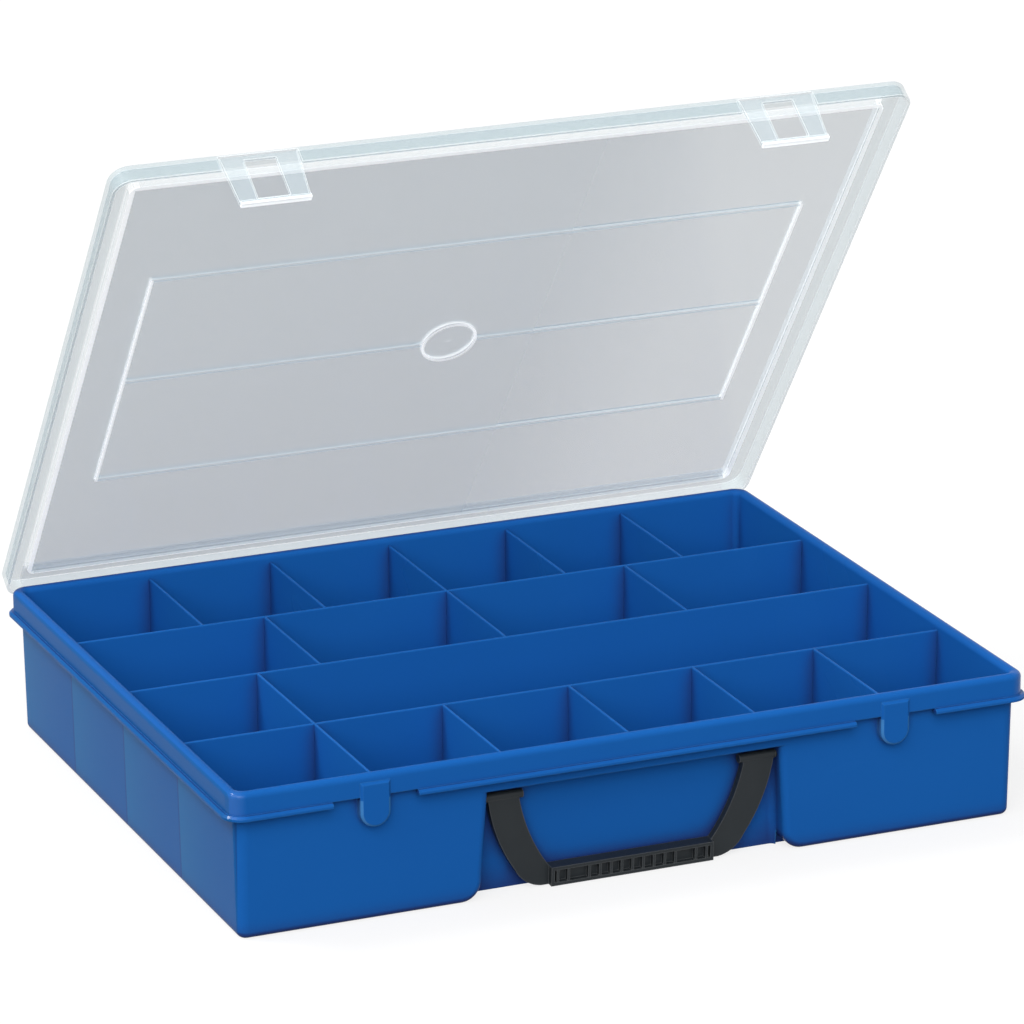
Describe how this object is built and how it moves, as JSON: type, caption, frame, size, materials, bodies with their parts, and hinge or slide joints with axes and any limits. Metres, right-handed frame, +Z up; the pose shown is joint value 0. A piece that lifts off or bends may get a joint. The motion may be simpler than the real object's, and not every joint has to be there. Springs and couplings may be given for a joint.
{
  "type": "compartment storage box",
  "caption": "Flat compartment storage box for small parts: shallow divided tray, clear hinged lid with snap latches at the front and a folding carry handle in a front recess.",
  "frame": {"origin": "middle of the tray's flat underside, between the outer faces of the rim band", "axes": "+X to the right along the long side, +Y from the handle side to the lid hinge, +Z up"},
  "size_m": [0.3704, 0.298, 0.3012],
  "materials": {
    "tray_blue": "glossy moulded polypropylene",
    "lid_clear": "clear, slightly milky polypropylene",
    "handle_black": "satin moulded plastic"
  },
  "bodies": {
    "tray": {"tray_shell": "tray_blue", "row_partition_rear": "tray_blue", "row_partition_middle": "tray_blue", "row_partition_front": "tray_blue", "rear_row_divider_1": "tray_blue", "rear_row_divider_2": "tray_blue", "rear_row_divider_3": "tray_blue", "rear_row_divider_4": "tray_blue", "rear_row_divider_5": "tray_blue", "second_row_divider_1": "tray_blue", "second_row_divider_2": "tray_blue", "second_row_divider_3": "tray_blue", "third_row_divider_1": "tray_blue", "front_row_divider_1": "tray_blue", "front_row_divider_2": "tray_blue", "front_row_divider_3": "tray_blue", "front_row_divider_4": "tray_blue", "front_row_divider_5": "tray_blue"},
    "lid": {"lid": "lid_clear"},
    "latch_left": {"latch_left": "lid_clear"},
    "latch_right": {"latch_right": "lid_clear"},
    "handle": {"carry_handle": "handle_black"}
  },
  "joints": [
    {"name": "lid_hinge", "type": "hinge", "parent": "tray", "child": "lid", "pos_m": [0, 0.1473, 0.06], "axis": [-1, 0, 0], "range_deg": [-54, 126]},
    {"name": "latch_left_flex", "type": "hinge", "parent": "lid", "child": "latch_left", "pos_m": [-0.1198, -0.01995, 0.29948], "axis": [-1, 0, 0], "range_deg": [0, 20], "stiffness_Nm_per_rad": 0.2},
    {"name": "latch_right_flex", "type": "hinge", "parent": "lid", "child": "latch_right", "pos_m": [0.1198, -0.01995, 0.29948], "axis": [-1, 0, 0], "range_deg": [0, 20], "stiffness_Nm_per_rad": 0.2},
    {"name": "handle_pivot", "type": "hinge", "parent": "tray", "child": "handle", "pos_m": [0, -0.1344, 0.044], "axis": [-1, 0, 0], "range_deg": [-2.5, 105]}
  ]
}
